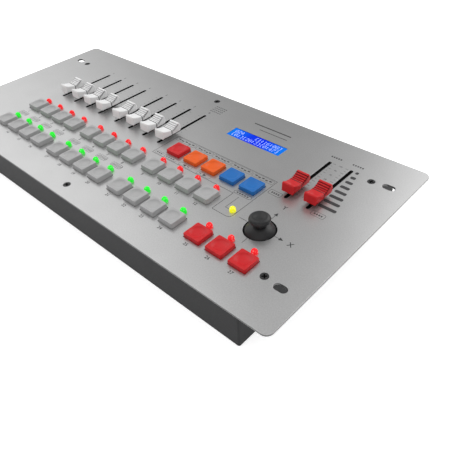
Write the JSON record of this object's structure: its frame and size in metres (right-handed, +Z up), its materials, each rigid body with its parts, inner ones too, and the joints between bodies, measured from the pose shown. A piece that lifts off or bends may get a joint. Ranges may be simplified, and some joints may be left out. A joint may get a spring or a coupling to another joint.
{
  "type": "lighting control desk",
  "caption": "Flat rack-width desk for stage lights, with lit scene keys, channel and master faders, a text display and a thumb joystick on one top panel.",
  "frame": {"origin": "middle of the footprint, on the surface that the case stands on", "axes": "+X to the operator's right along the panel's long side, +Y away from the operator, +Z up"},
  "size_m": [0.4826, 0.2214, 0.0532],
  "materials": {
    "panel": "satin, finely grained, printed",
    "case": "fine matt powder coat",
    "board": "solder mask",
    "grey": "satin moulded",
    "red": "satin moulded",
    "orange": "satin moulded",
    "blue": "satin moulded",
    "white": "satin moulded",
    "black": "satin moulded",
    "metal": "pressed plate",
    "display": "backlit display",
    "window": "clear, polished"
  },
  "bodies": {
    "desk": {"top_panel": "panel", "bottom_case": "case", "key_board": "board", "channel_fader_board": "board", "master_fader_board": "board", "main_board": "board", "display_module": "display", "display_window": "window", "joystick_housing": "metal", "dmx_out_socket": "black", "midi_in_socket": "black", "power_inlet": "black", "power_switch_housing": "black"},
    "scene_key_01": {"scene_key_01": "grey"},
    "scene_key_02": {"scene_key_02": "grey"},
    "scene_key_03": {"scene_key_03": "grey"},
    "scene_key_04": {"scene_key_04": "grey"},
    "scene_key_05": {"scene_key_05": "grey"},
    "scene_key_06": {"scene_key_06": "grey"},
    "scene_key_07": {"scene_key_07": "grey"},
    "scene_key_08": {"scene_key_08": "grey"},
    "scene_key_09": {"scene_key_09": "grey"},
    "scene_key_10": {"scene_key_10": "grey"},
    "scene_key_11": {"scene_key_11": "grey"},
    "scene_key_12": {"scene_key_12": "grey"},
    "scene_key_13": {"scene_key_13": "grey"},
    "scene_key_14": {"scene_key_14": "grey"},
    "scene_key_15": {"scene_key_15": "grey"},
    "scene_key_16": {"scene_key_16": "grey"},
    "scene_key_17": {"scene_key_17": "grey"},
    "scene_key_18": {"scene_key_18": "grey"},
    "scene_key_19": {"scene_key_19": "grey"},
    "scene_key_20": {"scene_key_20": "grey"},
    "scene_key_21": {"scene_key_21": "grey"},
    "scene_key_22": {"scene_key_22": "grey"},
    "scene_key_23": {"scene_key_23": "grey"},
    "scene_key_24": {"scene_key_24": "grey"},
    "function_key_1": {"function_key_1": "red"},
    "function_key_2": {"function_key_2": "orange"},
    "function_key_3": {"function_key_3": "orange"},
    "function_key_4": {"function_key_4": "blue"},
    "function_key_5": {"function_key_5": "blue"},
    "control_key_1": {"control_key_1": "red"},
    "control_key_2": {"control_key_2": "red"},
    "control_key_3": {"control_key_3": "red"},
    "channel_fader_cap_1": {"channel_fader_cap_1": "white"},
    "channel_fader_cap_2": {"channel_fader_cap_2": "white"},
    "channel_fader_cap_3": {"channel_fader_cap_3": "white"},
    "channel_fader_cap_4": {"channel_fader_cap_4": "white"},
    "channel_fader_cap_5": {"channel_fader_cap_5": "white"},
    "channel_fader_cap_6": {"channel_fader_cap_6": "white"},
    "channel_fader_cap_7": {"channel_fader_cap_7": "white"},
    "channel_fader_cap_8": {"channel_fader_cap_8": "white"},
    "master_fader_cap_1": {"master_fader_cap_1": "red"},
    "master_fader_cap_2": {"master_fader_cap_2": "red"},
    "yoke": {"joystick_yoke": "black"},
    "stick": {"joystick_shaft": "metal", "joystick_cap": "black"},
    "rocker": {"power_rocker": "black"}
  },
  "joints": [
    {"name": "channel_fader_cap_1_slide", "type": "slide", "parent": "desk", "child": "channel_fader_cap_1", "axis": [0, 1, 0], "range_m": [-0.0112, 0.0488]},
    {"name": "channel_fader_cap_2_slide", "type": "slide", "parent": "desk", "child": "channel_fader_cap_2", "axis": [0, 1, 0], "range_m": [-0.0112, 0.0488]},
    {"name": "channel_fader_cap_3_slide", "type": "slide", "parent": "desk", "child": "channel_fader_cap_3", "axis": [0, 1, 0], "range_m": [-0.0112, 0.0488]},
    {"name": "channel_fader_cap_4_slide", "type": "slide", "parent": "desk", "child": "channel_fader_cap_4", "axis": [0, 1, 0], "range_m": [-0.0112, 0.0488]},
    {"name": "channel_fader_cap_5_slide", "type": "slide", "parent": "desk", "child": "channel_fader_cap_5", "axis": [0, 1, 0], "range_m": [-0.0112, 0.0488]},
    {"name": "channel_fader_cap_6_slide", "type": "slide", "parent": "desk", "child": "channel_fader_cap_6", "axis": [0, 1, 0], "range_m": [-0.0112, 0.0488]},
    {"name": "channel_fader_cap_7_slide", "type": "slide", "parent": "desk", "child": "channel_fader_cap_7", "axis": [0, 1, 0], "range_m": [-0.0112, 0.0488]},
    {"name": "channel_fader_cap_8_slide", "type": "slide", "parent": "desk", "child": "channel_fader_cap_8", "axis": [0, 1, 0], "range_m": [-0.0112, 0.0488]},
    {"name": "master_fader_cap_1_slide", "type": "slide", "parent": "desk", "child": "master_fader_cap_1", "axis": [0, 1, 0], "range_m": [-0.0112, 0.0488]},
    {"name": "master_fader_cap_2_slide", "type": "slide", "parent": "desk", "child": "master_fader_cap_2", "axis": [0, 1, 0], "range_m": [-0.0112, 0.0488]},
    {"name": "joystick_forward_back", "type": "hinge", "parent": "desk", "child": "yoke", "pos_m": [0.1721, -0.03545, 0.032], "axis": [1, 0, 0], "range_deg": [-20, 20], "stiffness_Nm_per_rad": 0.06},
    {"name": "joystick_left_right", "type": "hinge", "parent": "yoke", "child": "stick", "pos_m": [0.1721, -0.03545, 0.032], "axis": [0, 1, 0], "range_deg": [-20, 20], "stiffness_Nm_per_rad": 0.06},
    {"name": "power_rocker_tip", "type": "hinge", "parent": "desk", "child": "rocker", "pos_m": [0.186, 0.10625, 0.019], "axis": [-1, 0, 0], "range_deg": [0, 14]},
    {"name": "scene_key_01_press", "type": "slide", "parent": "desk", "child": "scene_key_01", "axis": [0, 0, -1], "range_m": [0, 0.001], "stiffness_N_per_m": 400, "springref_m": -0.001},
    {"name": "scene_key_02_press", "type": "slide", "parent": "desk", "child": "scene_key_02", "axis": [0, 0, -1], "range_m": [0, 0.001], "stiffness_N_per_m": 400, "springref_m": -0.001},
    {"name": "scene_key_03_press", "type": "slide", "parent": "desk", "child": "scene_key_03", "axis": [0, 0, -1], "range_m": [0, 0.001], "stiffness_N_per_m": 400, "springref_m": -0.001},
    {"name": "scene_key_04_press", "type": "slide", "parent": "desk", "child": "scene_key_04", "axis": [0, 0, -1], "range_m": [0, 0.001], "stiffness_N_per_m": 400, "springref_m": -0.001},
    {"name": "scene_key_05_press", "type": "slide", "parent": "desk", "child": "scene_key_05", "axis": [0, 0, -1], "range_m": [0, 0.001], "stiffness_N_per_m": 400, "springref_m": -0.001},
    {"name": "scene_key_06_press", "type": "slide", "parent": "desk", "child": "scene_key_06", "axis": [0, 0, -1], "range_m": [0, 0.001], "stiffness_N_per_m": 400, "springref_m": -0.001},
    {"name": "scene_key_07_press", "type": "slide", "parent": "desk", "child": "scene_key_07", "axis": [0, 0, -1], "range_m": [0, 0.001], "stiffness_N_per_m": 400, "springref_m": -0.001},
    {"name": "scene_key_08_press", "type": "slide", "parent": "desk", "child": "scene_key_08", "axis": [0, 0, -1], "range_m": [0, 0.001], "stiffness_N_per_m": 400, "springref_m": -0.001},
    {"name": "scene_key_09_press", "type": "slide", "parent": "desk", "child": "scene_key_09", "axis": [0, 0, -1], "range_m": [0, 0.001], "stiffness_N_per_m": 400, "springref_m": -0.001},
    {"name": "scene_key_10_press", "type": "slide", "parent": "desk", "child": "scene_key_10", "axis": [0, 0, -1], "range_m": [0, 0.001], "stiffness_N_per_m": 400, "springref_m": -0.001},
    {"name": "scene_key_11_press", "type": "slide", "parent": "desk", "child": "scene_key_11", "axis": [0, 0, -1], "range_m": [0, 0.001], "stiffness_N_per_m": 400, "springref_m": -0.001},
    {"name": "scene_key_12_press", "type": "slide", "parent": "desk", "child": "scene_key_12", "axis": [0, 0, -1], "range_m": [0, 0.001], "stiffness_N_per_m": 400, "springref_m": -0.001},
    {"name": "scene_key_13_press", "type": "slide", "parent": "desk", "child": "scene_key_13", "axis": [0, 0, -1], "range_m": [0, 0.001], "stiffness_N_per_m": 400, "springref_m": -0.001},
    {"name": "scene_key_14_press", "type": "slide", "parent": "desk", "child": "scene_key_14", "axis": [0, 0, -1], "range_m": [0, 0.001], "stiffness_N_per_m": 400, "springref_m": -0.001},
    {"name": "scene_key_15_press", "type": "slide", "parent": "desk", "child": "scene_key_15", "axis": [0, 0, -1], "range_m": [0, 0.001], "stiffness_N_per_m": 400, "springref_m": -0.001},
    {"name": "scene_key_16_press", "type": "slide", "parent": "desk", "child": "scene_key_16", "axis": [0, 0, -1], "range_m": [0, 0.001], "stiffness_N_per_m": 400, "springref_m": -0.001},
    {"name": "scene_key_17_press", "type": "slide", "parent": "desk", "child": "scene_key_17", "axis": [0, 0, -1], "range_m": [0, 0.001], "stiffness_N_per_m": 400, "springref_m": -0.001},
    {"name": "scene_key_18_press", "type": "slide", "parent": "desk", "child": "scene_key_18", "axis": [0, 0, -1], "range_m": [0, 0.001], "stiffness_N_per_m": 400, "springref_m": -0.001},
    {"name": "scene_key_19_press", "type": "slide", "parent": "desk", "child": "scene_key_19", "axis": [0, 0, -1], "range_m": [0, 0.001], "stiffness_N_per_m": 400, "springref_m": -0.001},
    {"name": "scene_key_20_press", "type": "slide", "parent": "desk", "child": "scene_key_20", "axis": [0, 0, -1], "range_m": [0, 0.001], "stiffness_N_per_m": 400, "springref_m": -0.001},
    {"name": "scene_key_21_press", "type": "slide", "parent": "desk", "child": "scene_key_21", "axis": [0, 0, -1], "range_m": [0, 0.001], "stiffness_N_per_m": 400, "springref_m": -0.001},
    {"name": "scene_key_22_press", "type": "slide", "parent": "desk", "child": "scene_key_22", "axis": [0, 0, -1], "range_m": [0, 0.001], "stiffness_N_per_m": 400, "springref_m": -0.001},
    {"name": "scene_key_23_press", "type": "slide", "parent": "desk", "child": "scene_key_23", "axis": [0, 0, -1], "range_m": [0, 0.001], "stiffness_N_per_m": 400, "springref_m": -0.001},
    {"name": "scene_key_24_press", "type": "slide", "parent": "desk", "child": "scene_key_24", "axis": [0, 0, -1], "range_m": [0, 0.001], "stiffness_N_per_m": 400, "springref_m": -0.001},
    {"name": "function_key_1_press", "type": "slide", "parent": "desk", "child": "function_key_1", "axis": [0, 0, -1], "range_m": [0, 0.001], "stiffness_N_per_m": 400, "springref_m": -0.001},
    {"name": "function_key_2_press", "type": "slide", "parent": "desk", "child": "function_key_2", "axis": [0, 0, -1], "range_m": [0, 0.001], "stiffness_N_per_m": 400, "springref_m": -0.001},
    {"name": "function_key_3_press", "type": "slide", "parent": "desk", "child": "function_key_3", "axis": [0, 0, -1], "range_m": [0, 0.001], "stiffness_N_per_m": 400, "springref_m": -0.001},
    {"name": "function_key_4_press", "type": "slide", "parent": "desk", "child": "function_key_4", "axis": [0, 0, -1], "range_m": [0, 0.001], "stiffness_N_per_m": 400, "springref_m": -0.001},
    {"name": "function_key_5_press", "type": "slide", "parent": "desk", "child": "function_key_5", "axis": [0, 0, -1], "range_m": [0, 0.001], "stiffness_N_per_m": 400, "springref_m": -0.001},
    {"name": "control_key_1_press", "type": "slide", "parent": "desk", "child": "control_key_1", "axis": [0, 0, -1], "range_m": [0, 0.001], "stiffness_N_per_m": 400, "springref_m": -0.001},
    {"name": "control_key_2_press", "type": "slide", "parent": "desk", "child": "control_key_2", "axis": [0, 0, -1], "range_m": [0, 0.001], "stiffness_N_per_m": 400, "springref_m": -0.001},
    {"name": "control_key_3_press", "type": "slide", "parent": "desk", "child": "control_key_3", "axis": [0, 0, -1], "range_m": [0, 0.001], "stiffness_N_per_m": 400, "springref_m": -0.001}
  ]
}
